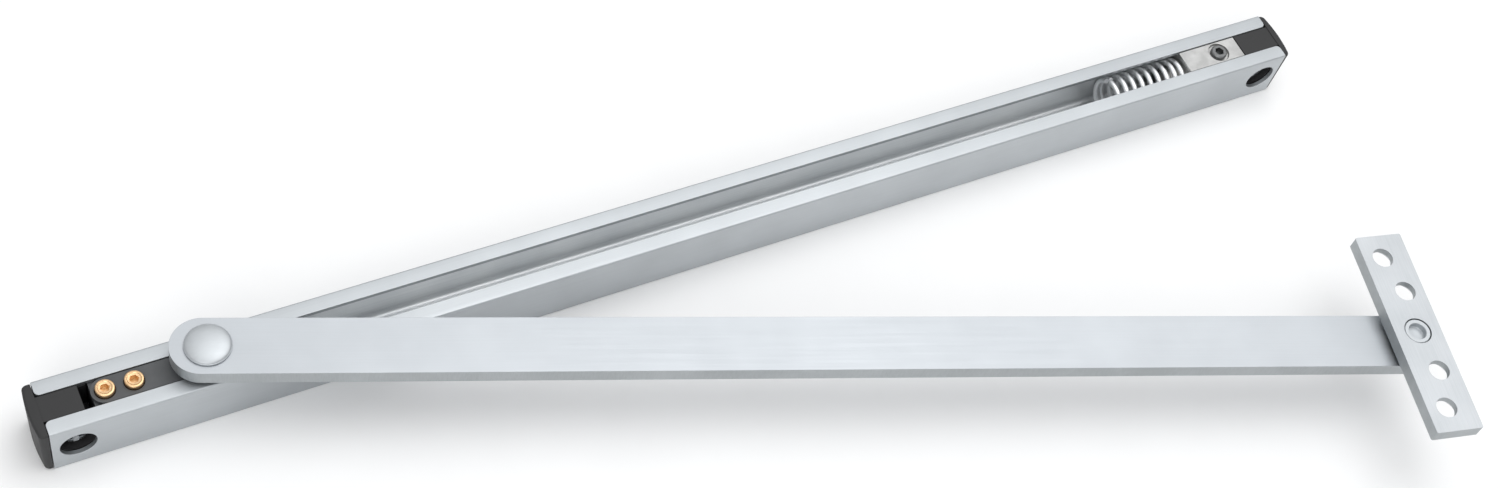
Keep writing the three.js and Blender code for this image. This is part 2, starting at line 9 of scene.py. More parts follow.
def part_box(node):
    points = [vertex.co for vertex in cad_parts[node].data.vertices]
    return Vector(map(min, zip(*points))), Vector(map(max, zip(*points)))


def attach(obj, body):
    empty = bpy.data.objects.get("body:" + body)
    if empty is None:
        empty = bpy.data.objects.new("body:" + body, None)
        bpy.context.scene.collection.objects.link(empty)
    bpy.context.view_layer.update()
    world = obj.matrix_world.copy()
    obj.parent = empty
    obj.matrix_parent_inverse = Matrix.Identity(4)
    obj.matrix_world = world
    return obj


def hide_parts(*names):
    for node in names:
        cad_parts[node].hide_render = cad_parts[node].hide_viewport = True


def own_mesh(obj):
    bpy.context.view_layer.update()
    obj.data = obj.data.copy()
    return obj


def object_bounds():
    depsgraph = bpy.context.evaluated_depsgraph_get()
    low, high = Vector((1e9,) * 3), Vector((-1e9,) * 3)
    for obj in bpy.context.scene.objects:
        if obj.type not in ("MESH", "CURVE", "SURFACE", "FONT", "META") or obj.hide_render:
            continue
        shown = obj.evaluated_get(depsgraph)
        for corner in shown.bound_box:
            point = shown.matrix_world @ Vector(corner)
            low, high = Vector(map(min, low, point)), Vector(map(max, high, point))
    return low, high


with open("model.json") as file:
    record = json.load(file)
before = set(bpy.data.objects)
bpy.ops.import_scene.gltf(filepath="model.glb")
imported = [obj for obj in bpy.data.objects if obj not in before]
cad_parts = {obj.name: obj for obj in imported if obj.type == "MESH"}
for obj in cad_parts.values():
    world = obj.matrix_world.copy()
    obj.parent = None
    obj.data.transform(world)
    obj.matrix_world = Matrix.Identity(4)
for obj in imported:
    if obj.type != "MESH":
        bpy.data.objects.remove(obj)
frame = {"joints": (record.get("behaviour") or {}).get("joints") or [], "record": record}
cad_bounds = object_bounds()

# An overhead door stop and holder: a slotted rail that goes on the door, a slide that runs in it, a flat arm
# and a small plate for the door frame, with a buffer spring and its stop at one end of the rail.


# ---- camera ----
# Stands in front of the rail's left end and looks down on it, with the rail running up to the right.

camera_data = bpy.data.cameras.new("camera")
camera_data.lens = 54.32
camera_data.shift_x = 0.0068
camera_data.shift_y = 0.0125
camera_data.clip_start = 0.01
camera = bpy.data.objects.new("camera", camera_data)
camera.location = (-0.3585, -0.4511, 0.8059)
camera.rotation_euler = Euler((0.5738, -0.1744, -0.4489))
bpy.context.scene.collection.objects.link(camera)
bpy.context.scene.camera = camera
bpy.context.scene.view_settings.view_transform = "Standard"


# ---- studio ----
# A pale paper floor under a broad soft sky that darkens to the horizon, which gives round edges a line. A
# big softbox hangs over the rail, in the plane of its slot, so that it reaches the slot's floor, and a
# weaker one in front keeps the upright faces from going dark.


def paint(code):
    """A colour of the shaders, from its sRGB hex code."""
    parts = [int(code[i : i + 2], 16) / 255 for i in (1, 3, 5)]
    line = [c / 12.92 if c <= 0.04045 else ((c + 0.055) / 1.055) ** 2.4 for c in parts]
    return (*line, 1.0)


def add_node(tree, kind, inputs=None, **settings):
    """A node with its settings made and its inputs set or linked."""
    made = tree.nodes.new(kind)
    for name, value in settings.items():
        setattr(made, name, value)
    for name, value in (inputs or {}).items():
        if isinstance(value, bpy.types.NodeSocket):
            tree.links.new(value, made.inputs[name])
        else:
            made.inputs[name].default_value = value
    return made


def new_finish(name, **shader_values):
    """A material with one principled shader, whose constant values are set on its own sockets."""
    material = bpy.data.materials.new(name)
    material.use_nodes = True
    tree = material.node_tree
    tree.nodes.clear()
    values = {key.replace("_", " "): value for key, value in shader_values.items()}
    shader = add_node(tree, "ShaderNodeBsdfPrincipled", values)
    add_node(tree, "ShaderNodeOutputMaterial", {"Surface": shader.outputs[0]})
    return material, tree, shader


# Matt seamless paper: nearly white, with the faintest mottle of its pulp, 40 mm across.
MM = 0.001
studio_paper, tree, shader = new_finish("seamless_paper", Roughness=0.9)
where = add_node(tree, "ShaderNodeTexCoord")
pulp = add_node(tree, "ShaderNodeTexNoise", {"Vector": where.outputs["Object"], "Scale": 1 / (40 * MM)})
tint = add_node(
    tree, "ShaderNodeMix", {0: pulp.outputs[0], 6: paint("#f4f4f4"), 7: paint("#f8f8f8")}, data_type="RGBA"
)
tree.links.new(tint.outputs[2], shader.inputs["Base Color"])

FLOOR_HALF = 6.0
floor_mesh = bpy.data.meshes.new("floor")
corners = [(-1, -1), (1, -1), (1, 1), (-1, 1)]
floor_mesh.from_pydata(
    [(FLOOR_HALF * x, FLOOR_HALF * y, cad_bounds[0][2]) for x, y in corners], [], [(0, 1, 2, 3)]
)
floor_mesh.materials.append(studio_paper)
floor = bpy.data.objects.new("floor", floor_mesh)
bpy.context.scene.collection.objects.link(floor)

world = bpy.data.worlds.new("soft_sky")
world.use_nodes = True
world.node_tree.nodes.clear()
look = add_node(world.node_tree, "ShaderNodeTexCoord")
height = add_node(world.node_tree, "ShaderNodeSeparateXYZ", {"Vector": look.outputs["Generated"]})
rise = add_node(
    world.node_tree,
    "ShaderNodeMapRange",
    {"Value": height.outputs["Z"], "From Min": 0.0, "From Max": 0.5, "To Min": 0.25, "To Max": 0.8},
)
sky = add_node(
    world.node_tree, "ShaderNodeBackground", {"Color": paint("#f9fafb"), "Strength": rise.outputs[0]}
)
add_node(world.node_tree, "ShaderNodeOutputWorld", {"Surface": sky.outputs[0]})
bpy.context.scene.world = world


def softbox(name, place, size, power):
    """A square soft light that faces the middle of the object."""
    data = bpy.data.lights.new(name, "AREA")
    data.size = size
    data.energy = power
    lamp = bpy.data.objects.new(name, data)
    lamp.location = place
    lamp.rotation_euler = (Vector((0, -0.08, 0)) - Vector(place)).to_track_quat("-Z", "Y").to_euler()
    bpy.context.scene.collection.objects.link(lamp)


softbox("overhead_softbox", (0.5, 0.15, 1.8), 1.6, 16)
softbox("front_softbox", (-1.1, -1.4, 1.2), 1.2, 9)


# ---- the rail ----
# One length of satin anodised aluminium, extruded as a C with inward lips and sawn off square. The lips'
# inner corners are rounded at both ends, and it is drilled for the block screws' heads and shanks.

# Sizes are in millimetres: on the rail, x is counted from its left end, y from its middle plane and z from
# the top of its lips. On the arm and the plate x runs along them from their own pivot.
rail_low, rail_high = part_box("channel")
rail_origin = Vector((rail_low.x, (rail_low.y + rail_high.y) / 2, rail_high.z))
ON_RAIL = Matrix.Translation(rail_origin) @ Matrix.Scale(MM, 4)
RAIL_LENGTH = (rail_high.x - rail_low.x) / MM
RAIL_HALF = (rail_high.y - rail_low.y) / 2 / MM
RAIL_HEIGHT = (rail_high.z - rail_low.z) / MM
WALL = 2.0
SLOT_HALF = 5.97
INSIDE_HALF = RAIL_HALF - WALL
RAIL_FLOOR = WALL - RAIL_HEIGHT
BLOCK_SCREW_Z = -13.1
ACCESS_RADIUS = 7.3
SHANK_HOLE_RADIUS = 3.2


def loft(name, rings, loop=False):
    """A closed skin over outlines of equal length, one after the other, with flat ends unless it loops."""
    mesh = bpy.data.meshes.new(name)
    count = len(rings[0])
    points = [tuple(p) for outline in rings for p in outline]
    faces = []
    last = len(rings) if loop else len(rings) - 1
    for r in range(last):
        low, high = r * count, ((r + 1) % len(rings)) * count
        for i in range(count):
            j = (i + 1) % count
            faces.append((low + i, low + j, high + j, high + i))
    if not loop:
        faces.append(tuple(range(count - 1, -1, -1)))
        faces.append(tuple(range((len(rings) - 1) * count, len(rings) * count)))
    mesh.from_pydata(points, [], faces)
    net = bmesh.new()
    net.from_mesh(mesh)
    bmesh.ops.remove_doubles(net, verts=net.verts, dist=1e-5)
    bmesh.ops.recalc_face_normals(net, faces=net.faces)
    net.to_mesh(mesh)
    net.free()
    piece = bpy.data.objects.new(name, mesh)
    bpy.context.scene.collection.objects.link(piece)
    return piece


def arc(x, y, radius, start, end, steps=8):
    """Points on a round stretch of an outline, the angles in degrees."""
    turns = [math.radians(start + (end - start) * i / steps) for i in range(steps + 1)]
    return [(x + radius * math.cos(a), y + radius * math.sin(a)) for a in turns]


def along_x(name, outline, start, end):
    """A bar along x with an outline of (y, z)."""
    return loft(name, [[(x, y, z) for y, z in outline] for x in (start, end)])


def standing(name, outline, low, high):
    """A slab with an outline of (x, y)."""
    return loft(name, [[(x, y, z) for x, y in outline] for z in (low, high)])


def turned(name, profile, centre=(0, 0), axis="Z", sides=96, loop=False):
    """A piece turned on a lathe, from (radius, height) points, standing on z or lying along y or x."""
    rings = []
    for radius, height in profile:
        radius = max(radius, 0.02)
        spokes = [math.tau * i / sides for i in range(sides)]
        flat = [(radius * math.cos(a), radius * math.sin(a)) for a in spokes]
        if axis == "Z":
            rings.append([(centre[0] + u, centre[1] + v, height) for u, v in flat])
        elif axis == "Y":
            rings.append([(centre[0] + u, height, centre[1] + v) for u, v in flat])
        else:
            rings.append([(height, centre[0] + u, centre[1] + v) for u, v in flat])
    return loft(name, rings, loop)


def apply_modifiers(piece):
    """Bakes a piece's modifiers into its mesh."""
    ready = piece.evaluated_get(bpy.context.evaluated_depsgraph_get())
    mesh = bpy.data.meshes.new_from_object(ready)
    piece.modifiers.clear()
    piece.data = mesh


def shaped(piece, tool, operation="DIFFERENCE"):
    """Cuts the tool out of the piece, or joins it on, and puts the tool away."""
    step = piece.modifiers.new("shape", "BOOLEAN")
    step.object = tool
    step.operation = operation
    step.solver = "EXACT"
    apply_modifiers(piece)
    bpy.data.objects.remove(tool)
    return piece


def eased(piece, width=0.25, steps=2, angle=35):
    """Breaks a piece's sharp edges with a small round, and shades it smooth between its edges."""
    piece.data.shade_smooth()
    edge = piece.modifiers.new("edges", "BEVEL")
    edge.width = width
    edge.segments = steps
    edge.limit_method = "ANGLE"
    edge.angle_limit = math.radians(angle)
    edge.harden_normals = True
    edge.use_clamp_overlap = True
    apply_modifiers(piece)
    piece.data.shade_smooth()
    return piece


def fitted(piece, place, material, body, slot, *nodes):
    """Puts a finished piece in its place, gives it its finish and lets it ride its body."""
    piece.data.transform(place)
    piece.data.materials.clear()
    piece.data.materials.append(material)
    for face in piece.data.polygons:
        face.material_index = 0
    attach(piece, body)
    if nodes:
        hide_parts(*nodes)
    return piece


def grained_metal(name, light, dark, roughness, turn=0.0, grain=(45.0, 0.45), relief=0.004):
    """A metal with a fine long grain. Grain sizes and relief are in millimetres, turn is its direction."""
    material, tree, shader = new_finish(name, Metallic=1.0)
    where = add_node(tree, "ShaderNodeTexCoord")
    size = (grain[0] * MM, grain[1] * MM, grain[1] * MM)
    lay = add_node(
        tree,
        "ShaderNodeMapping",
        {"Vector": where.outputs["Object"], "Rotation": (0, 0, turn), "Scale": size},
        vector_type="TEXTURE",
    )
    lines = add_node(tree, "ShaderNodeTexNoise", {"Vector": lay.outputs[0], "Scale": 1.0, "Detail": 5.0})
    clouds = add_node(
        tree, "ShaderNodeTexNoise", {"Vector": where.outputs["Object"], "Scale": 1 / (28 * MM), "Detail": 3.0}
    )
    both = add_node(tree, "ShaderNodeMath", {0: lines.outputs[0], 1: clouds.outputs[0]}, operation="ADD")
    shade = add_node(
        tree, "ShaderNodeMapRange", {"Value": both.outputs[0], "From Min": 0.75, "From Max": 1.25}
    )
    colour = add_node(
        tree, "ShaderNodeMix", {0: shade.outputs[0], 6: paint(dark), 7: paint(light)}, data_type="RGBA"
    )
    gloss = add_node(
        tree,
        "ShaderNodeMapRange",
        {"Value": lines.outputs[0], "From Min": 0.3, "From Max": 0.7, "To Min": roughness - 0.05,
         "To Max": roughness + 0.05},
    )
    bump = add_node(
        tree, "ShaderNodeBump", {"Height": lines.outputs[0], "Distance": relief * MM, "Strength": 0.6}
    )
    tree.links.new(colour.outputs[2], shader.inputs["Base Color"])
    tree.links.new(gloss.outputs[0], shader.inputs["Roughness"])
    tree.links.new(bump.outputs[0], shader.inputs["Normal"])
    return material


# Clear anodised aluminium: a cool silver whose extrusion lines run along it and soften every reflection.
# The lines are drawn 0.45 mm apart, coarser than the real ones, so that they show.
anodised_aluminium = grained_metal("anodised_aluminium", "#c2c6c9", "#b9bdc0", 0.5)

CORNER = 0.9
INNER_FILLET = 2.4
half, inner, corner, fillet = RAIL_HALF, INSIDE_HALF, CORNER, INNER_FILLET
rail_section = (
    arc(half - corner, -RAIL_HEIGHT + corner, corner, -90, 0)
    + arc(half - corner, -corner, corner, 0, 90)
    + [(SLOT_HALF, 0), (SLOT_HALF, -WALL)]
    + arc(inner - 0.4, -WALL - 0.4, 0.4, 90, 0, 3)
    + arc(inner - fillet, RAIL_FLOOR + fillet, fillet, 0, -90, 6)
    + arc(-inner + fillet, RAIL_FLOOR + fillet, fillet, -90, -180, 6)
    + arc(-inner + 0.4, -WALL - 0.4, 0.4, 180, 90, 3)
    + [(-SLOT_HALF, -WALL), (-SLOT_HALF, 0)]
    + arc(-half + corner, -corner, corner, 90, 180)
    + arc(-half + corner, -RAIL_HEIGHT + corner, corner, 180, 270)
)
rail = along_x("rail", rail_section, 0, RAIL_LENGTH)

LIP_CORNER = 2.2
for end, inward in ((0.0, 1), (RAIL_LENGTH, -1)):
    for side in (-1, 1):
        rounding = arc(LIP_CORNER, SLOT_HALF + LIP_CORNER, LIP_CORNER, 270, 180, 10)
        waste = [(-1, SLOT_HALF - 1), (LIP_CORNER, SLOT_HALF - 1), *rounding, (-1, SLOT_HALF + LIP_CORNER)]
        placed = [(end + inward * x, side * y) for x, y in waste]
        shaped(rail, standing("lip_corner_waste", placed, -WALL - 0.3, 1))

block_low, block_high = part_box("left_block_screw")
left_screw_x = ((block_low.x + block_high.x) / 2 - rail_low.x) / MM
block_low, block_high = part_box("right_block_screw")
right_screw_x = ((block_low.x + block_high.x) / 2 - rail_low.x) / MM
for x in (left_screw_x, right_screw_x):
    front = [(ACCESS_RADIUS, -half - 2), (ACCESS_RADIUS, -inner + 1.5)]
    shaped(rail, turned("access_waste", front, (x, BLOCK_SCREW_Z), "Y"))
    behind = [(SHANK_HOLE_RADIUS, inner - 1.5), (SHANK_HOLE_RADIUS, half + 2)]
    shaped(rail, turned("screw_waste", behind, (x, BLOCK_SCREW_Z), "Y", 48))
eased(rail, 0.22)
fitted(rail, ON_RAIL, anodised_aluminium, "channel", "satin_aluminium", "channel")

# The inside gets a lighter, somewhat glossier copy of the rail's finish. Its lighter colour is painted light:
# it stands in for the light that comes in through the slot and is thrown about inside, so that the slot never
# looks black.
bore_painted_light = grained_metal("bore_with_painted_light", "#f2f4f5", "#e6e9eb", 0.42)
rail.data.materials.append(bore_painted_light)
# The faces inside the rail take the lighter finish: painted light.
for face in rail.data.polygons:
    across = abs(face.center.y - rail_origin.y) / MM
    depth = (face.center.z - rail_origin.z) / MM
    if across < INSIDE_HALF + 0.05 and RAIL_FLOOR - 0.05 < depth < -WALL + 0.05:
        face.material_index = 1


# ---- end blocks ----
# Black nylon blocks pushed into the rail's ends. A bulged cap covers the cut end, a neck fills the slot, and
# a round pocket in front takes the head of the screw that holds block and rail on the door.

CAP_GAP = 0.3
CAP_CORNER = 2.2
CAP_BULGE = 0.8
CAP_DRAFT = 0.16
POCKET_RADIUS = 7.0
PLAY = 0.3
CORNER_ROOM = 1.6
SCREW_SEAT = -6.0


def moulded_plastic(name, colour, worn, roughness, grain=0.35, relief=0.02):
    """A moulded plastic with the fine spark-eroded grain of its mould, its size in millimetres."""
    material, tree, shader = new_finish(name, IOR=1.53)
    where = add_node(tree, "ShaderNodeTexCoord")
    skin = add_node(
        tree,
        "ShaderNodeTexNoise",
        {"Vector": where.outputs["Object"], "Scale": 1 / (grain * MM), "Detail": 3.0},
    )
    flow = add_node(
        tree, "ShaderNodeTexNoise", {"Vector": where.outputs["Object"], "Scale": 1 / (9 * MM), "Detail": 2.0}
    )
    blush = add_node(
        tree, "ShaderNodeMapRange", {"Value": flow.outputs[0], "From Min": 0.4, "From Max": 0.75}
    )
    tone = add_node(
        tree, "ShaderNodeMix", {0: blush.outputs[0], 6: paint(colour), 7: paint(worn)}, data_type="RGBA"
    )
    gloss = add_node(
        tree,
        "ShaderNodeMapRange",
        {"Value": flow.outputs[0], "From Min": 0.3, "From Max": 0.7, "To Min": roughness - 0.06,
         "To Max": roughness + 0.06},
    )
    bump = add_node(
        tree, "ShaderNodeBump", {"Height": skin.outputs[0], "Distance": relief * MM, "Strength": 0.5}
    )
    tree.links.new(tone.outputs[2], shader.inputs["Base Color"])
    tree.links.new(gloss.outputs[0], shader.inputs["Roughness"])
    tree.links.new(bump.outputs[0], shader.inputs["Normal"])
    return material


# Black nylon: not quite black, with a low sheen that lifts its upper faces to dark grey.
black_nylon = moulded_plastic("black_nylon", "#212122", "#2a2a2b", 0.6)


def box(x0, x1, y0, y1, z0, z1):
    """A squared block."""
    return standing("block", [(x0, y0), (x1, y0), (x1, y1), (x0, y1)], z0, z1)


def end_block(name, overhang, neck_end, body_end, screw_x):
    """A block for the left end, x counted inwards from it."""
    cap_half = RAIL_HALF - CAP_GAP
    top, bottom, round_over = -CAP_GAP, -RAIL_HEIGHT + CAP_GAP, 1.1
    levels = [(bottom + round_over * (1 - math.sin(a)), round_over * (1 - math.cos(a)))
              for a in (math.radians(d) for d in range(90, -1, -15))]
    levels += [(top - round_over * (1 - math.sin(a)), round_over * (1 - math.cos(a)))
               for a in (math.radians(d) for d in range(0, 91, 15))]
    rings = []
    for z, inset in levels:
        side = cap_half - inset
        front = (overhang - CAP_BULGE) * (1 - CAP_DRAFT * (top - z) / (top - bottom)) - inset
        turn = side - CAP_CORNER
        outline = [(-CAP_GAP, -side), (-CAP_GAP, side)]
        outline += arc(-front + CAP_CORNER, turn, CAP_CORNER, 90, 180, 10)
        outline += [
            (-front - CAP_BULGE * (1 - (y / turn) ** 2), y)
            for y in (turn * k / 10 for k in range(9, -10, -1))
        ]
        outline += arc(-front + CAP_CORNER, -turn, CAP_CORNER, 180, 270, 10)
        rings.append([(min(x, -CAP_GAP), y, z) for x, y in outline])
    block = loft(name, rings)
    body = box(
        -1, body_end, -INSIDE_HALF + CORNER_ROOM, INSIDE_HALF - CORNER_ROOM, RAIL_FLOOR + PLAY, -WALL - PLAY
    )
    wide = box(-1, body_end, -INSIDE_HALF + PLAY, INSIDE_HALF - PLAY, RAIL_FLOOR + CORNER_ROOM, -WALL - PLAY)
    neck = box(-1, neck_end, -SLOT_HALF + PLAY, SLOT_HALF - PLAY, -WALL - 1, -0.6)
    shaped(body, wide, "UNION")
    shaped(body, neck, "UNION")
    shaped(block, body, "UNION")
    if body_end > neck_end:
        shaped(block, box(neck_end, body_end + 1, -SLOT_HALF + PLAY, SLOT_HALF - PLAY, -16, 1))
    pocket = [(POCKET_RADIUS, -RAIL_HALF - 2), (POCKET_RADIUS, SCREW_SEAT)]
    shaped(block, turned("pocket_waste", pocket, (screw_x, BLOCK_SCREW_Z), "Y"))
    hole = [(SHANK_HOLE_RADIUS, SCREW_SEAT - 1), (SHANK_HOLE_RADIUS, RAIL_HALF + 2)]
    return shaped(block, turned("hole_waste", hole, (screw_x, BLOCK_SCREW_Z), "Y", 48))


left_block = end_block("left_nylon_block", 4.8, 15.8, 19.3, left_screw_x)
eased(left_block, 0.3)
fitted(left_block, ON_RAIL, black_nylon, "channel", "black_moulding", "left_end_block")

right_block = end_block("right_nylon_block", 3.8, 19.0, 19.0, RAIL_LENGTH - right_screw_x)
eased(right_block, 0.3)
right_block.data.transform(Matrix.Translation((RAIL_LENGTH, 0, 0)) @ Matrix.Scale(-1, 4, (1, 0, 0)))
right_block.data.flip_normals()
fitted(right_block, ON_RAIL, black_nylon, "channel", "black_moulding", "right_end_block")


# ---- block screws ----
# Big pan-head steel screws with a cross recess, zinc plated. Each one's head lies sunk behind the hole in the
# rail's front wall, and its shank goes through the block and the rail's back wall.

SHANK_RADIUS = 2.9
SCREW_END = 12.3
HEAD_RADIUS = 6.2
HEAD_HEIGHT = 2.6
RECESS_REACH = 4.4
RECESS_WIDTH = 2.2
RECESS_DEPTH = 2.1


def winding_tree():
    """Round wire wound on a helix along x, its first and last turns closed against each other."""
    tree = bpy.data.node_groups.new("wound_wire", "GeometryNodeTree")
    for name in (
        "Turns", "Closed start", "Closed end", "Mean radius", "Length", "Wire radius", "Start angle"
    ):
        tree.interface.new_socket(name=name, in_out="INPUT", socket_type="NodeSocketFloat")
    for name in ("Steps per turn", "Wire sides"):
        tree.interface.new_socket(name=name, in_out="INPUT", socket_type="NodeSocketInt")
    tree.interface.new_socket(name="Finish", in_out="INPUT", socket_type="NodeSocketMaterial")
    tree.interface.new_socket(name="Wire", in_out="OUTPUT", socket_type="NodeSocketGeometry")
    given = tree.nodes.new("NodeGroupInput").outputs
    spiral = add_node(
        tree,
        "GeometryNodeCurveSpiral",
        {
            "Resolution": given["Steps per turn"],
            "Rotations": given["Turns"],
            "Start Radius": given["Mean radius"],
            "End Radius": given["Mean radius"],
            "Height": 1.0,
            "Reverse": False,
        },
    )
    turn = add_node(tree, "ShaderNodeCombineXYZ", {"Z": given["Start angle"]})
    started = add_node(
        tree, "GeometryNodeTransform", {"Geometry": spiral.outputs[0], "Rotation": turn.outputs[0]}
    )
    here = add_node(tree, "GeometryNodeInputPosition")
    spot = add_node(tree, "ShaderNodeSeparateXYZ", {"Vector": here.outputs[0]})

    # How far the wire has gone along x: wire by wire in the closed turns, and evenly in the open ones.
    parts = []
    for name in ("Closed start", "Closed end"):
        share = add_node(tree, "ShaderNodeMath", {0: given[name], 1: given["Turns"]}, operation="DIVIDE")
        twice = add_node(tree, "ShaderNodeMath", {0: given[name], 1: 2.0}, operation="MULTIPLY")
        long = add_node(
            tree, "ShaderNodeMath", {0: twice.outputs[0], 1: given["Wire radius"]}, operation="MULTIPLY"
        )
        parts.append((share.outputs[0], long.outputs[0]))
    (first_share, first_long), (last_share, last_long) = parts
    until = add_node(tree, "ShaderNodeMath", {0: 1.0, 1: last_share}, operation="SUBTRACT").outputs[0]
    rest = add_node(tree, "ShaderNodeMath", {0: given["Length"], 1: first_long}, operation="SUBTRACT")
    open_long = add_node(tree, "ShaderNodeMath", {0: rest.outputs[0], 1: last_long}, operation="SUBTRACT")
    stretches = (
        (0.0, first_share, first_long),
        (first_share, until, open_long.outputs[0]),
        (until, 1.0, last_long),
    )
    gone = None
    for start, end, long in stretches:
        limits = {
            "Value": spot.outputs["Z"], "From Min": start, "From Max": end, "To Min": 0.0, "To Max": long
        }
        step = add_node(tree, "ShaderNodeMapRange", limits).outputs[0]
        if gone is None:
            gone = step
        else:
            gone = add_node(tree, "ShaderNodeMath", {0: gone, 1: step}, operation="ADD").outputs[0]
    wound = add_node(
        tree, "ShaderNodeCombineXYZ", {"X": gone, "Y": spot.outputs["X"], "Z": spot.outputs["Y"]}
    )
    path = add_node(
        tree, "GeometryNodeSetPosition", {"Geometry": started.outputs[0], "Position": wound.outputs[0]}
    )
    section = {"Resolution": given["Wire sides"], "Radius": given["Wire radius"]}
    round_wire = add_node(tree, "GeometryNodeCurvePrimitiveCircle", section)
    tube = add_node(
        tree,
        "GeometryNodeCurveToMesh",
        {"Curve": path.outputs[0], "Profile Curve": round_wire.outputs[0], "Fill Caps": True},
    )
    smooth = add_node(tree, "GeometryNodeSetShadeSmooth", {"Geometry": tube.outputs[0], "Shade Smooth": True})
    real = add_node(tree, "GeometryNodeRealizeInstances", {"Geometry": smooth.outputs[0]})
    dressed = add_node(
        tree, "GeometryNodeSetMaterial", {"Geometry": real.outputs[0], "Material": given["Finish"]}
    )
    add_node(tree, "NodeGroupOutput", {"Wire": dressed.outputs[0]})
    return tree


wound_wire = winding_tree()


def wind(name, material, **sizes):
    """A helix of wire made by the tree, as a plain mesh along x from the origin."""
    carrier = bpy.data.objects.new(name, bpy.data.meshes.new(name))
    bpy.context.scene.collection.objects.link(carrier)
    step = carrier.modifiers.new("winding", "NODES")
    step.node_group = wound_wire
    values = {key.replace("_", " ").capitalize(): value for key, value in sizes.items()}
    values["Finish"] = material
    for socket in wound_wire.interface.items_tree:
        if socket.in_out == "INPUT":
            step[socket.identifier] = values[socket.name]
    apply_modifiers(carrier)
    return carrier


def joined(piece, other):
    """Adds another closed shell to a piece's mesh."""
    net = bmesh.new()
    net.from_mesh(piece.data)
    net.from_mesh(other.data)
    net.to_mesh(piece.data)
    net.free()
    bpy.data.objects.remove(other)
    return piece


def threaded(piece, material, radius, start, end, pitch, turn, move):
    """Rolls a thread on a shank: a fine ridge wound round it from start to end along its axis."""
    ridge = wind(
        "thread", material, turns=(end - start) / pitch, closed_start=0.01, closed_end=0.01,
        mean_radius=radius - pitch * 0.1, length=end - start, wire_radius=pitch * 0.34, start_angle=0.0,
        steps_per_turn=28, wire_sides=6,
    )
    ridge.data.transform(move @ turn @ Matrix.Translation((start, 0, 0)))
    return joined(piece, ridge)


def cross_recess(reach, width, depth):
    """The waste of a cross recess that opens at z = 0 and narrows downwards."""
    rings = []
    for z, share in ((0.6, 1.12), (0, 1.0), (-depth, 0.5)):
        long, short = reach * share, width / 2 * (0.6 + 0.4 * share)
        arm = [(long, -short), (long, short), (short, short)]
        outline = []
        for quarter in range(4):
            a = quarter * math.pi / 2
            outline += [
                (x * math.cos(a) - y * math.sin(a), x * math.sin(a) + y * math.cos(a)) for x, y in arm
            ]
        rings.append([(x, y, z) for x, y in outline])
    return loft("recess_waste", rings)


# Zinc plate on steel: a cool mid grey, glossy, with the fine scratches of tumbling.
zinc_plate = grained_metal("bright_zinc_plate", "#b4b7ba", "#8c8f92", 0.26, grain=(1.6, 0.5), relief=0.003)

ALONG_Y = Matrix.Rotation(math.radians(90), 4, "Z")
FACE_FRONT = Matrix.Rotation(math.radians(90), 4, "X")


def block_screw(name, x, node):
    """One pan-head screw along y, its head to the front."""
    seat = SCREW_SEAT - 0.3
    crown = seat - HEAD_HEIGHT
    head = [(0, crown), (HEAD_RADIUS * 0.3, crown + 0.03)]
    head += [(HEAD_RADIUS * (0.4 + 0.6 * math.sin(a)), crown + 0.03 + HEAD_HEIGHT * 0.9 * (1 - math.cos(a)))
             for a in (math.radians(d) for d in range(10, 91, 8))]
    shank = [(HEAD_RADIUS, seat - 0.15), (HEAD_RADIUS - 0.15, seat), (SHANK_RADIUS, seat)]
    point = [(SHANK_RADIUS, SCREW_END - 0.8), (SHANK_RADIUS - 0.8, SCREW_END), (0, SCREW_END)]
    screw = turned(name, head + shank + point, (0, 0), "Y")
    recess = cross_recess(RECESS_REACH, RECESS_WIDTH, RECESS_DEPTH)
    recess.data.transform(Matrix.Translation((0, crown, 0)) @ FACE_FRONT)
    shaped(screw, recess)
    eased(screw, 0.1, 2, 30)
    threaded(screw, zinc_plate, SHANK_RADIUS - 0.1, seat + 2, SCREW_END - 1, 0.9, ALONG_Y, Matrix.Identity(4))
    place = ON_RAIL @ Matrix.Translation((x, 0, BLOCK_SCREW_Z))
    return fitted(screw, place, zinc_plate, "channel", "bright_steel", node)


block_screw("left_pan_screw", left_screw_x, "left_block_screw")
block_screw("right_pan_screw", right_screw_x, "right_block_screw")


# ---- stop block ----
# A die-cast zinc block slid into the rail, its neck level with the lips. A clamping screw in a round pocket
# jacks it up against the lips, through a steel plate that bears on the rail's floor.

screw_low, screw_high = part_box("stop_screw")
STOP_SCREW = ((screw_low.x + screw_high.x) / 2 - rail_low.x) / MM
stop_low, stop_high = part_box("stop_block")
STOP_END = (stop_high.x - rail_low.x) / MM
SPIGOT_LENGTH = 9.0
STOP_START = (stop_low.x - rail_low.x) / MM + SPIGOT_LENGTH
STOP_TOP = (stop_high.z - rail_high.z) / MM
SPIGOT_Z = -12.65
STOP_POCKET = 5.0
POCKET_DEPTH = 1.4


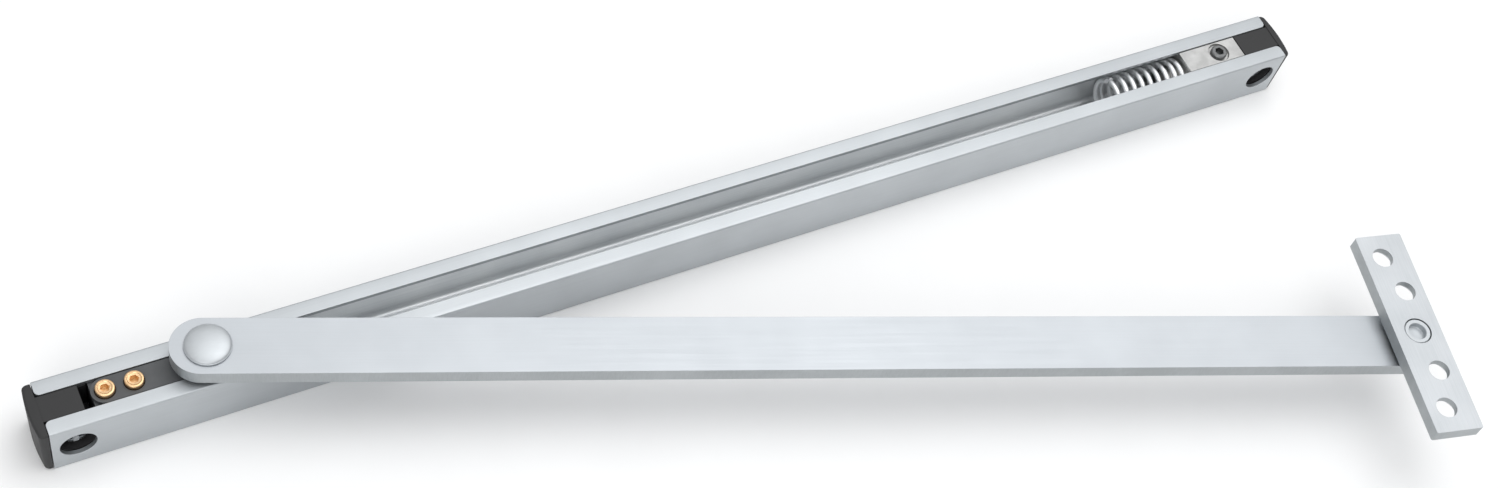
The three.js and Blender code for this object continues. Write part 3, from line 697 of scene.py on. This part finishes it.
def cast_metal(name, light, dark, roughness, grain=0.6, relief=0.03):
    """A cast metal with the fine orange-peel skin of its die, its size in millimetres."""
    material, tree, shader = new_finish(name, Metallic=1.0)
    where = add_node(tree, "ShaderNodeTexCoord")
    peel = add_node(
        tree,
        "ShaderNodeTexNoise",
        {"Vector": where.outputs["Object"], "Scale": 1 / (grain * MM), "Detail": 4.0},
    )
    flow = add_node(
        tree, "ShaderNodeTexNoise", {"Vector": where.outputs["Object"], "Scale": 1 / (6 * MM), "Detail": 3.0}
    )
    tone = add_node(tree, "ShaderNodeMapRange", {"Value": flow.outputs[0], "From Min": 0.35, "From Max": 0.7})
    colour = add_node(
        tree, "ShaderNodeMix", {0: tone.outputs[0], 6: paint(dark), 7: paint(light)}, data_type="RGBA"
    )
    gloss = add_node(
        tree,
        "ShaderNodeMapRange",
        {"Value": peel.outputs[0], "From Min": 0.3, "From Max": 0.7, "To Min": roughness - 0.05,
         "To Max": roughness + 0.07},
    )
    bump = add_node(
        tree, "ShaderNodeBump", {"Height": peel.outputs[0], "Distance": relief * MM, "Strength": 0.5}
    )
    tree.links.new(colour.outputs[2], shader.inputs["Base Color"])
    tree.links.new(gloss.outputs[0], shader.inputs["Roughness"])
    tree.links.new(bump.outputs[0], shader.inputs["Normal"])
    return material


# Die-cast zinc, tumbled: pale and matt, slightly warmer than the rail.
die_cast_zinc = cast_metal("die_cast_zinc", "#c9c9c8", "#b4b4b3", 0.42)

stop_block = box(STOP_START, STOP_END, -INSIDE_HALF + 0.3, INSIDE_HALF - 0.3, RAIL_FLOOR + 1.6, -WALL - 0.3)
foot = box(STOP_START, STOP_END, -INSIDE_HALF + 1.6, INSIDE_HALF - 1.6, RAIL_FLOOR + 0.3, -WALL - 0.6)
neck = box(STOP_START, STOP_END, -SLOT_HALF + 0.3, SLOT_HALF - 0.3, -WALL - 1.3, STOP_TOP)
shaped(stop_block, foot, "UNION")
shaped(stop_block, neck, "UNION")
spigot = [(5.2, STOP_START - SPIGOT_LENGTH), (6.2, STOP_START - SPIGOT_LENGTH + 2), (6.2, STOP_START + 1)]
shaped(stop_block, turned("spigot", spigot, (0, SPIGOT_Z), "X", 64), "UNION")
well = [(STOP_POCKET, STOP_TOP - POCKET_DEPTH), (STOP_POCKET, 2)]
shaped(stop_block, turned("well_waste", well, (STOP_SCREW, 0)))
bore = [(3.3, RAIL_FLOOR - 1), (3.3, 1)]
shaped(stop_block, turned("bore_waste", bore, (STOP_SCREW, 0), sides=64))
PLATE_TOP = RAIL_FLOOR + 3.2
room = box(STOP_SCREW - 8.5, STOP_SCREW + 8.5, -8.5, 8.5, RAIL_FLOOR - 1, PLATE_TOP + 0.3)
shaped(stop_block, room)
eased(stop_block, 0.35, 3)
stop_block.name = "cast_stop_block"
fitted(stop_block, ON_RAIL, die_cast_zinc, "channel", "cast_zinc", "stop_block")


# ---- stop screw and its plate ----
# A phosphated socket screw with a chamfered head, and the black square steel pad that spreads its thrust.

# Black oxide on steel: a very dark blue-grey with a soft metallic edge.
black_oxide = grained_metal("black_oxide_steel", "#3c3d40", "#262729", 0.34, grain=(2.5, 0.5), relief=0.004)

# Phosphated steel: a mid grey with a dull, slightly warm sheen.
phosphated_steel = grained_metal(
    "phosphated_steel", "#8b8c8d", "#747576", 0.42, grain=(2.5, 0.5), relief=0.004
)

UPWARD = Matrix.Rotation(math.radians(-90), 4, "Y")


def hexagon_waste(radius, mouth, depth):
    """The waste of a hexagon socket."""
    outline = [(radius * math.cos(a), radius * math.sin(a)) for a in (math.tau * i / 6 for i in range(6))]
    return standing("socket_waste", outline, mouth - depth, mouth + 1)


HEAD_LOW = STOP_TOP - POCKET_DEPTH + 0.3
HEAD_TOP = HEAD_LOW + 1.9
profile = [
    (0, PLATE_TOP + 0.3), (2.4, PLATE_TOP + 0.3), (2.9, PLATE_TOP + 0.9), (2.9, HEAD_LOW), (3.8, HEAD_LOW)
]
profile += [(3.8, HEAD_TOP - 0.5), (3.3, HEAD_TOP), (0, HEAD_TOP)]
stop_screw = turned("stop_socket_screw", profile)
shaped(stop_screw, hexagon_waste(2.2, HEAD_TOP, 3))
eased(stop_screw, 0.12, 2, 30)
threaded(stop_screw, phosphated_steel, 2.9, PLATE_TOP + 1.2, HEAD_LOW - 0.6, 0.9, UPWARD, Matrix.Identity(4))
place = ON_RAIL @ Matrix.Translation((STOP_SCREW, 0, 0))
fitted(stop_screw, place, phosphated_steel, "stop_screw", "dark_steel", "stop_screw")

pad = box(STOP_SCREW - 8, STOP_SCREW + 8, -8, 8, RAIL_FLOOR + 0.05, PLATE_TOP)
pad.name = "stop_pad"
eased(pad, 0.5, 3)
fitted(pad, ON_RAIL, black_oxide, "channel", "dark_steel", "stop_pressure_plate")


# ---- buffer spring ----
# An open-coiled compression spring that takes the slide's last few millimetres. Its free end coil is closed
# and rides with the travel. The other coils close up towards the stop block.

# Zinc-plated spring wire: light and silky, so each turn shows as a broad pale band.
spring_wire = grained_metal(
    "zinc_plated_spring_wire", "#fafbfc", "#eceef0", 0.42, grain=(2.0, 0.6), relief=0.003
)

tip_low, tip_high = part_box("spring_end_coil")
coil_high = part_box("buffer_spring")[1]
WIRE = (tip_high.x - tip_low.x) / MM
COIL_MEAN = (tip_high.y - tip_low.y) / 2 / MM - WIRE / 2
SPRING_AXIS = ((tip_low.z + tip_high.z) / 2 - rail_high.z) / MM
TIP = (tip_low.x - rail_low.x) / MM
SPRING_END = (coil_high.x - rail_low.x) / MM
OPEN_START = TIP + WIRE * 1.5
END_TURN_ANGLE = 1.0

end_coil = wind(
    "spring_end_turn", spring_wire, turns=0.97, closed_start=0.01, closed_end=0.01, mean_radius=COIL_MEAN,
    length=WIRE * 0.5, wire_radius=WIRE / 2, start_angle=END_TURN_ANGLE, steps_per_turn=64, wire_sides=20,
)
place = ON_RAIL @ Matrix.Translation((TIP + WIRE / 2, 0, SPRING_AXIS))
fitted(end_coil, place, spring_wire, "spring_tip", "bright_steel", "spring_end_coil")

coils = wind(
    "spring_coils", spring_wire, turns=8.25, closed_start=0.15, closed_end=0.65, mean_radius=COIL_MEAN,
    length=SPRING_END - WIRE / 2 - OPEN_START, wire_radius=WIRE / 2, start_angle=END_TURN_ANGLE,
    steps_per_turn=64, wire_sides=20,
)
place = ON_RAIL @ Matrix.Translation((OPEN_START, 0, SPRING_AXIS))
fitted(coils, place, spring_wire, "channel", "bright_steel", "buffer_spring")
joints = {joint["name"]: joint for joint in frame["joints"]}
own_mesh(coils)


# ---- slide block ----
# A dark grey nylon block that fills the rail, with a round-ended neck up through the slot. It carries the
# pivot in a bronze bush and, in front of it, two socket screws that press a brake shoe on the rail's floor.

pivot = Vector(joints["arm_pivot"]["pos_m"])
PIVOT_X = (pivot.x - rail_low.x) / MM
SCREW_XS = [(joints[f"adjusting_screw_{i}_turn"]["pos_m"][0] - rail_low.x) / MM for i in (1, 2)]
slide_low, slide_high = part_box("slide_block")
SLIDE_END = (slide_high.x - rail_low.x) / MM
SLIDE_START = 20.0
NECK_RADIUS = 5.6
NECK_TOP = (slide_high.z - rail_high.z) / MM
SLIDE_BOTTOM = (slide_low.z - rail_high.z) / MM
SLIDE_HALF = (slide_high.y - slide_low.y) / 2 / MM
SCREW_RADIUS = 3.9
RIVET_SHANK = 4.0
BUSH_RADIUS = 6.0
SHOE_TOP = (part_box("friction_shoe")[1].z - rail_high.z) / MM

# Grey nylon: the same moulding, lighter where the rail has rubbed it.
grey_nylon = moulded_plastic("grey_nylon", "#47494b", "#525456", 0.5)


def rounded_outline(x0, x1, y0, y1, radius, steps=8):
    """A rectangle with round corners."""
    return (
        arc(x1 - radius, y0 + radius, radius, -90, 0, steps)
        + arc(x1 - radius, y1 - radius, radius, 0, 90, steps)
        + arc(x0 + radius, y1 - radius, radius, 90, 180, steps)
        + arc(x0 + radius, y0 + radius, radius, 180, 270, steps)
    )


slide_section = (
    arc(SLIDE_HALF - 2.6, SLIDE_BOTTOM + 2.6, 2.6, -90, 0)
    + arc(SLIDE_HALF - 1, -WALL - 1.35, 1, 0, 90)
)
slide_section += [(-y, z) for y, z in reversed(slide_section)]
slide = along_x("slide_moulding", slide_section, SLIDE_START, SLIDE_END)
neck_outline = rounded_outline(
    SCREW_XS[0] - NECK_RADIUS, SLIDE_END, -NECK_RADIUS, NECK_RADIUS, NECK_RADIUS - 0.02, 20
)
shaped(slide, standing("neck", neck_outline, -WALL - 1.5, NECK_TOP), "UNION")
for x in SCREW_XS:
    shaped(slide, turned("screw_well", [(4.2, SHOE_TOP), (4.2, 1)], (x, 0), sides=64))
    shaped(slide, turned("spring_well", [(5.2, SHOE_TOP - 1), (5.2, SHOE_TOP + 2.4)], (x, 0), sides=64))
shoe_room = rounded_outline(SCREW_XS[0] - 6.2, SCREW_XS[1] + 6.2, -8.2, 8.2, 1)
shaped(slide, standing("shoe_room", shoe_room, SLIDE_BOTTOM - 1, SHOE_TOP + 0.3))
shaped(slide, turned("pivot_hole", [(4.3, SLIDE_BOTTOM - 1), (4.3, 1)], (PIVOT_X, 0), sides=64))
bush_room = [
    (8.0, SLIDE_BOTTOM - 1), (8.0, SLIDE_BOTTOM + 3.5), (6.15, SLIDE_BOTTOM + 3.5), (6.15, -WALL - 1)
]
shaped(slide, turned("bush_room", bush_room, (PIVOT_X, 0), sides=64))
eased(slide, 0.35, 3)
fitted(slide, ON_RAIL, grey_nylon, "slide", "grey_moulding", "slide_block")


# ---- adjusting screws ----
# Two copper-plated socket screws whose heads stand a little proud of the slide. A turn of either one loads
# its disc spring and so sets how hard the shoe drags.

SCREW_TOP = (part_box("adjusting_screw_1")[1].z - rail_high.z) / MM
SCREW_FOOT = (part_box("adjusting_screw_1")[0].z - rail_high.z) / MM

# Bright copper plate: warm, glossy, paler on its edges where the light catches.
copper_plate = grained_metal("copper_plate", "#f0cda2", "#dcb07e", 0.3, grain=(1.5, 0.6), relief=0.003)


def adjusting_screw(name, index, x):
    """One screw, with a dished top round its hexagon socket."""
    top = SCREW_TOP
    profile = [
        (0, SCREW_FOOT), (3.1, SCREW_FOOT), (3.6, SCREW_FOOT + 0.7), (3.6, top - 4.2), (3.9, top - 3.9)
    ]
    profile += [(SCREW_RADIUS, top - 0.6)]
    profile += [(SCREW_RADIUS - 0.6 * (1 - math.cos(a)), top - 0.6 + 0.6 * math.sin(a))
                for a in (math.radians(d) for d in range(15, 91, 15))]
    profile += [(2.9, top), (2.6, top - 0.25), (0, top - 0.35)]
    screw = turned(name, profile)
    shaped(screw, hexagon_waste(1.9, top, 3.2))
    eased(screw, 0.1, 2, 30)
    threaded(screw, copper_plate, 3.6, SCREW_FOOT + 1, top - 4.8, 1.0, UPWARD, Matrix.Identity(4))
    place = ON_RAIL @ Matrix.Translation((x, 0, 0))
    return fitted(
        screw, place, copper_plate, f"adjusting_screw_{index}", "copper_plate", f"adjusting_screw_{index}"
    )


for index, x in enumerate(SCREW_XS, 1):
    adjusting_screw(f"copper_socket_screw_{index}", index, x)


# ---- inside the slide ----
# The bronze bush round the pivot, the thrust washer between slide and arm, the two disc springs and the
# pressed brake shoe. All are dropped in from below before the slide goes into the rail.

# Sintered bronze: brown-gold and matt with fine oil-filled pores.
sintered_bronze = cast_metal("sintered_bronze", "#b08c58", "#8a6a3e", 0.45, grain=0.3)
# Pressed brake lining: rust-brown, dull, with short fibres.
brake_lining = moulded_plastic("brake_lining", "#4a3226", "#5d4335", 0.8, grain=0.8, relief=0.05)


def washer(name, inner, outer, low, high, ease=0.2):
    """A flat ring with eased edges."""
    profile = [(inner, low + ease), (inner + ease, low), (outer - ease, low), (outer, low + ease)]
    profile += [(outer, high - ease), (outer - ease, high), (inner + ease, high), (inner, high - ease)]
    ring = turned(name, profile, loop=True)
    ring.data.shade_smooth()
    ring.data.set_sharp_from_angle(angle=math.radians(30))
    return ring


def span(node):
    """A CAD node's lowest and highest level on the rail, in millimetres."""
    low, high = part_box(node)
    return (low.z - rail_high.z) / MM, (high.z - rail_high.z) / MM


AT_PIVOT = ON_RAIL @ Matrix.Translation((PIVOT_X, 0, 0))
bush = washer("pivot_bush", 4.1, BUSH_RADIUS, *span("slide_bush"), ease=0.4)
fitted(bush, AT_PIVOT, sintered_bronze, "slide", "bronze", "slide_bush")
thrust = washer("thrust_washer", 4.3, 10.6, *span("slide_washer"))
fitted(thrust, AT_PIVOT, black_oxide, "slide", "dark_steel", "slide_washer")

shoe_low, shoe_high = span("friction_shoe")
shoe_outline = rounded_outline(SCREW_XS[0] - 5.8, SCREW_XS[1] + 5.8, -7.8, 7.8, 1)
shoe = standing("brake_shoe", shoe_outline, shoe_low, shoe_high)
eased(shoe, 0.4, 3)
fitted(shoe, ON_RAIL, brake_lining, "slide", "brake_pad", "friction_shoe")

for index, x in enumerate(SCREW_XS, 1):
    low, high = span(f"shoe_spring_{index}")
    cone = [(2.4, high - 0.8), (4.8, low), (4.9, low + 0.1), (4.9, low + 0.8), (2.5, high), (2.4, high - 0.1)]
    disc = turned(f"disc_spring_{index}", cone, loop=True)
    disc.data.shade_smooth()
    disc.data.set_sharp_from_angle(angle=math.radians(30))
    place = ON_RAIL @ Matrix.Translation((x, 0, 0))
    fitted(disc, place, zinc_plate, "slide", "bright_steel", f"shoe_spring_{index}")


# ---- arm ----
# A flat steel bar, blanked with round ends, satin zinc-nickel plated. One end swings on the slide and the
# other carries the frame plate.

tip_pivot = Vector(joints["bracket_pivot"]["pos_m"])
reach = (tip_pivot - pivot) / MM
ARM_TURN = math.atan2(reach.y, reach.x)
ARM_REACH = math.hypot(reach.x, reach.y)
ARM_HALF = 12.65
ARM_TAIL = 15.0
ARM_HEAD = 13.2
ARM_LOW, ARM_TOP = span("arm_bar")
ON_ARM = (
    Matrix.Translation((pivot.x, pivot.y, rail_high.z))
    @ Matrix.Rotation(ARM_TURN, 4, "Z")
    @ Matrix.Scale(MM, 4)
)

# Satin plated steel: a cool, even silver with the bar's rolling grain along it.
arm_steel = grained_metal("satin_plated_bar", "#bfc3c7", "#b7bbbf", 0.5, turn=ARM_TURN, grain=(50.0, 0.5))

arm_outline = arc(ARM_REACH + ARM_HEAD - ARM_HALF, 0, ARM_HALF, -90, 90, 48)
arm_outline += arc(-ARM_TAIL + ARM_HALF, 0, ARM_HALF, 90, 270, 48)
arm = standing("arm_flat_bar", arm_outline, ARM_LOW, ARM_TOP)
shaped(arm, turned("rivet_hole", [(4.3, ARM_LOW - 1), (4.3, ARM_TOP + 1)], sides=64))
roll_room = [(8.2, ARM_LOW - 1), (8.2, ARM_LOW + 2.4), (6.55, ARM_LOW + 2.4), (6.55, ARM_TOP + 1)]
shaped(arm, turned("stud_hole", roll_room, (ARM_REACH, 0)))
eased(arm, 0.5, 3)
fitted(arm, ON_ARM, arm_steel, "arm", "satin_steel", "arm_bar")


def sides_in_painted_shade(piece, material):
    """Gives the upright faces of a flat piece a darker finish of their own, as painted shade."""
    piece.data.materials.append(material)
    for face in piece.data.polygons:
        if abs(face.normal.z) < 0.5:
            face.material_index = 1


# The blanked sides: plated over a torn cut, so they are rougher than the rolled faces. Their darker colour is
# painted shade, for upright faces that catch less of the overhead light.
blanked_sides_painted_shade = grained_metal(
    "plated_sides_painted_shade", "#b8bcbe", "#a9adaf", 0.55, turn=ARM_TURN, grain=(0.6, 4.0)
)
sides_in_painted_shade(arm, blanked_sides_painted_shade)


# ---- pivot rivet ----
# A headed steel rivet: a low dome on the arm, a shank through the bush and a washer at its foot.

# Headed and plated steel: brighter than the bar, with the faint rings of the heading tool.
headed_steel = grained_metal(
    "headed_plated_steel", "#cbcfd2", "#c3c7ca", 0.54, grain=(3.0, 0.9), relief=0.003
)

RIVET_HEAD = 9.4
rivet_low, rivet_top = span("pivot_rivet")
RIM = ARM_TOP + 0.15
profile = [(0, rivet_low), (RIVET_SHANK - 0.6, rivet_low), (RIVET_SHANK, rivet_low + 0.6), (RIVET_SHANK, RIM)]
profile += [(RIVET_HEAD - 0.3, RIM), (RIVET_HEAD, RIM + 0.3), (RIVET_HEAD, RIM + 0.7)]
dome = rivet_top - RIM - 0.9
profile += [(RIVET_HEAD - 0.25 + 0.25 * math.cos(a), RIM + 0.7 + 0.2 * math.sin(a)) for a in (0.5, 1.0, 1.5)]
bow = [math.radians(d) for d in range(4, 91, 4)]
profile += (
    [((RIVET_HEAD - 0.3) * math.cos(a), RIM + 0.9 + dome * math.sin(a)) for a in bow]
    + [(0, rivet_top)]
)
rivet = turned("domed_rivet", profile)
rivet.data.shade_smooth()
rivet.data.set_sharp_from_angle(angle=math.radians(40))
fitted(rivet, ON_ARM, headed_steel, "arm", "satin_steel", "pivot_rivet")

foot_ring = washer("rivet_foot_washer", 4.1, 7.4, *span("rivet_tail_washer"), ease=0.3)
fitted(foot_ring, ON_ARM, black_oxide, "arm", "dark_steel", "rivet_tail_washer")
arm_sleeve = washer("arm_end_bush", 5.05, 6.4, *span("arm_bush"), ease=0.3)
arm_sleeve.data.transform(Matrix.Translation((ARM_REACH, 0, 0)))
fitted(arm_sleeve, ON_ARM, sintered_bronze, "arm", "bronze", "arm_bush")


# ---- frame plate ----
# A flat steel plate that is screwed up under the door frame's head: four staggered holes, countersunk from
# below, and a stepped hole in the middle for the stud.

face_point = Vector(next(m["pos_m"] for m in frame["record"]["mounts"] if m["name"] == "frame_face"))
PLATE_TURN = math.atan2(face_point.y - tip_pivot.y, face_point.x - tip_pivot.x)
ON_PLATE = (
    Matrix.Translation((tip_pivot.x, tip_pivot.y, rail_high.z))
    @ Matrix.Rotation(PLATE_TURN, 4, "Z")
    @ Matrix.Scale(MM, 4)
)
PLATE_LONG = 49.2
PLATE_HALF = 11.1
PLATE_LOW, PLATE_HIGH = span("bracket_plate")
HOLE_RADIUS = 4.7
SINK_RADIUS = 7.2
SINK_DEPTH = 3.4
HOLES = [(side * along, across) for along, across in ((37.8, -1.9), (20.0, 2.0)) for side in (-1, 1)]

# The plate's steel, with the grain of the strip along it and the coarser marks of shearing on its sides.
plate_steel = grained_metal(
    "satin_plated_strip", "#cacdd0", "#bcc0c3", 0.5, turn=PLATE_TURN, grain=(18.0, 0.6)
)

plate = standing(
    "frame_plate",
    rounded_outline(-PLATE_LONG, PLATE_LONG, -PLATE_HALF, PLATE_HALF, 0.8, 5),
    PLATE_LOW,
    PLATE_HIGH,
)
for centre in HOLES:
    sink = [(SINK_RADIUS + 1, PLATE_LOW - 1), (SINK_RADIUS, PLATE_LOW), (HOLE_RADIUS, PLATE_LOW + SINK_DEPTH)]
    shaped(plate, turned("sink_waste", sink + [(HOLE_RADIUS, PLATE_HIGH + 1)], centre))
shaped(plate, turned("stud_waste", [(5.05, PLATE_LOW - 1), (5.05, PLATE_HIGH + 1)]))
shaped(plate, turned("flange_waste", [(6.2, PLATE_HIGH - 2.4), (6.2, PLATE_HIGH + 1)]))
eased(plate, 0.3, 3)
fitted(plate, ON_PLATE, plate_steel, "bracket", "satin_steel", "bracket_plate")
# The plate's upright faces take the same darker finish, as painted shade.
sides_in_painted_shade(plate, blanked_sides_painted_shade)

# The stud: turned, with a shallow bore in its flange, passed through plate and washer, and rolled over in
# the arm's underside.
stud_low, stud_top = span("bracket_stud")
profile = [(0, stud_low), (7.3, stud_low), (7.6, stud_low + 0.3), (7.6, stud_low + 1.2)]
profile += [(7.0, stud_low + 1.8), (4.9, stud_low + 1.8), (4.9, stud_top - 1.8), (5.9, stud_top - 1.8)]
profile += [(5.9, stud_top - 0.3), (5.6, stud_top), (4.1, stud_top), (3.9, stud_top - 0.2)]
profile += [(3.9, stud_top - 2.7), (3.6, stud_top - 3.0), (0, stud_top - 3.2)]
stud = turned("plate_stud", profile)
stud.data.shade_smooth()
stud.data.set_sharp_from_angle(angle=math.radians(30))
fitted(stud, ON_PLATE, headed_steel, "bracket", "satin_steel", "bracket_stud")
spacer = washer("plate_washer", 5.2, 9.5, *span("bracket_washer"))
fitted(spacer, ON_PLATE, black_oxide, "bracket", "dark_steel", "bracket_washer")
